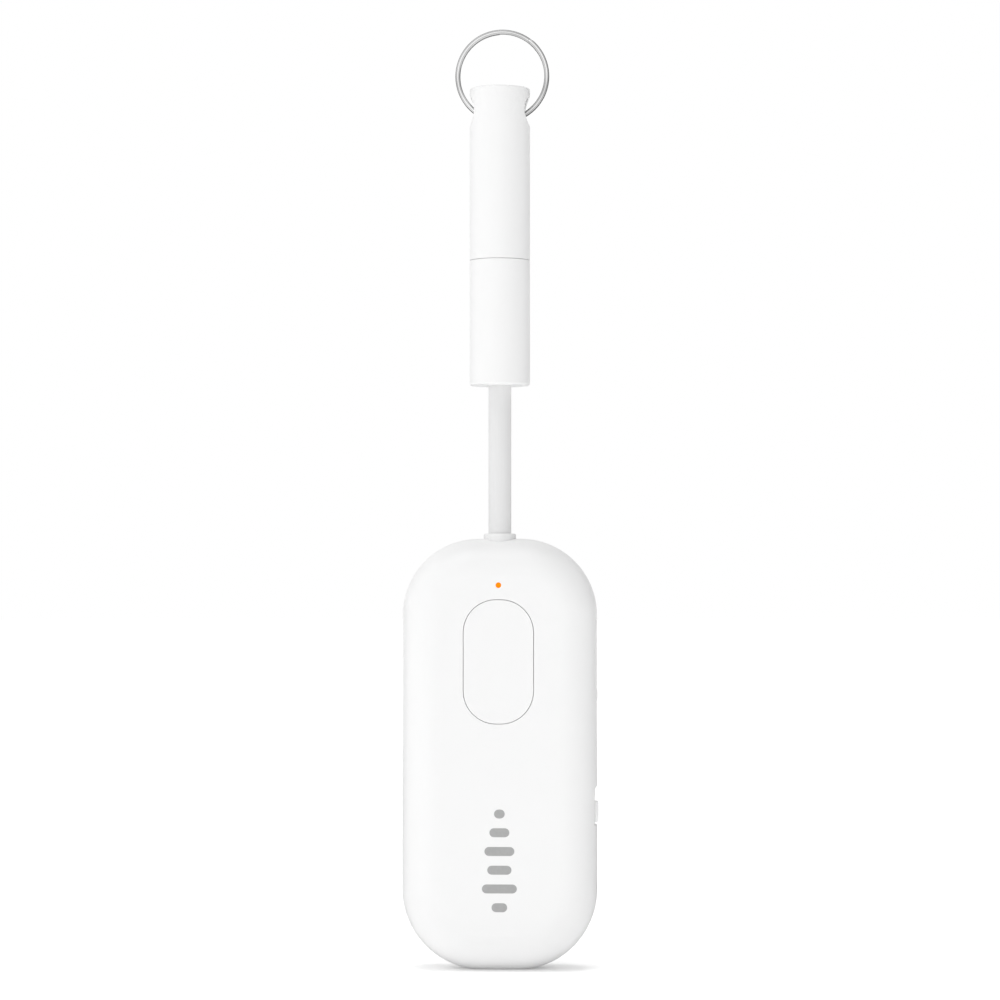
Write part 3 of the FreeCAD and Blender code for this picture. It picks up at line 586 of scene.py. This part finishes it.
def make_floor():
    """A wide white floor that glows a little, so that it stays pale to its edge."""
    spots = [(-1, -1), (1, -1), (1, 1), (-1, 1)]
    corners = [Vector((x * FLOOR_REACH, y * FLOOR_REACH, FLOOR_Z)) for x, y in spots]
    floor = new_object("studio_floor", corners, [(0, 1, 2, 3)])
    material = new_material("studio_floor", grey(FLOOR_TONE), 0.9, Specular_IOR_Level=0.0)
    shader_of(material).inputs["Emission Color"].default_value = (1, 1, 1, 1)
    spot = add(material, "ShaderNodeTexCoord")
    away = add(material, "ShaderNodeVectorMath", operation="LENGTH")
    link(material, spot.outputs["Object"], away.inputs[0])
    glow = spread(material, away.outputs["Value"], *FLOOR_GLOW, *FLOOR_GLOW_REACH)
    link(material, glow, shader_of(material).inputs["Emission Strength"])
    floor.data.materials.append(material)
    return floor


def make_world():
    """A plain white background, and a room that is dimmer towards the right and the back."""
    world = bpy.data.worlds.new("studio")
    world.use_nodes = True
    bpy.context.scene.world = world
    nodes = world.node_tree.nodes
    links = world.node_tree.links
    spot = nodes.new("ShaderNodeTexCoord")
    split = nodes.new("ShaderNodeSeparateXYZ")
    half = nodes.new("ShaderNodeMapRange")
    half.inputs["From Min"].default_value = -1
    ramp = nodes.new("ShaderNodeValToRGB")
    ramp.color_ramp.interpolation = "EASE"
    while len(ramp.color_ramp.elements) < len(ROOM):
        ramp.color_ramp.elements.new(0.5)
    for element, (place_x, strength) in zip(ramp.color_ramp.elements, ROOM):
        element.position = (place_x + 1) / 2
        element.color = (strength, strength, strength, 1)
    links.new(spot.outputs["Generated"], split.inputs["Vector"])
    links.new(split.outputs["X"], half.inputs["Value"])
    links.new(half.outputs["Result"], ramp.inputs["Fac"])
    links.new(ramp.outputs["Color"], nodes["Background"].inputs["Color"])
    behind = nodes.new("ShaderNodeMapRange")
    behind.inputs["To Min"].default_value = 1
    behind.inputs["To Max"].default_value = ROOM_BACK
    links.new(split.outputs["Y"], behind.inputs["Value"])
    links.new(behind.outputs["Result"], nodes["Background"].inputs["Strength"])
    plain = nodes.new("ShaderNodeBackground")
    plain.inputs["Color"].default_value = (1, 1, 1, 1)
    path = nodes.new("ShaderNodeLightPath")
    mix = nodes.new("ShaderNodeMixShader")
    links.new(path.outputs["Is Camera Ray"], mix.inputs["Fac"])
    links.new(nodes["Background"].outputs["Background"], mix.inputs[1])
    links.new(plain.outputs["Background"], mix.inputs[2])
    links.new(mix.outputs["Shader"], nodes["World Output"].inputs["Surface"])


def make_card(name, place_mm, aim_mm, width_mm, tall_mm, tone):
    """A dark studio card that only shiny surfaces reflect: it draws their edges against the white."""
    spots = [(-0.5, -0.5), (0.5, -0.5), (0.5, 0.5), (-0.5, 0.5)]
    corners = [Vector((x * width_mm * MM, y * tall_mm * MM, 0)) for x, y in spots]
    card = new_object(name, corners, [(0, 1, 2, 3)])
    card.location = at(*place_mm)
    card.rotation_euler = (at(*aim_mm) - card.location).to_track_quat("Z", "Y").to_euler()
    material = new_material(name, grey(0), 1.0, Specular_IOR_Level=0.0, Emission_Strength=tone)
    shader_of(material).inputs["Emission Color"].default_value = (1, 1, 1, 1)
    card.data.materials.append(material)
    card.visible_camera = False
    card.visible_diffuse = False
    card.visible_shadow = False
    card.visible_transmission = False


def make_light(name, place_mm, aim_mm, side_mm, watts):
    """A square soft box facing a point."""
    data = bpy.data.lights.new(name, "AREA")
    data.shape = "SQUARE"
    data.size = side_mm * MM
    data.energy = watts
    light = bpy.data.objects.new(name, data)
    light.location = at(*place_mm)
    light.rotation_euler = (at(*aim_mm) - light.location).to_track_quat("-Z", "Y").to_euler()
    bpy.context.scene.collection.objects.link(light)
    return light


floor = make_floor()
make_world()
for card in CARDS:
    make_card(*card)
make_light("key_softbox", place_mm=(-60, -170, 640), aim_mm=(0, 0, 60), side_mm=450, watts=0.46)

# The light that whitens the floor leaves the object alone.
overhead = make_light("overhead_softbox", place_mm=(0, 0, 2000), aim_mm=(0, 0, 0), side_mm=900,
                      watts=12.0)
only_floor = bpy.data.collections.new("only_floor")
only_floor.objects.link(floor)
overhead.light_linking.receiver_collection = only_floor
bpy.context.scene.view_settings.view_transform = "Standard"
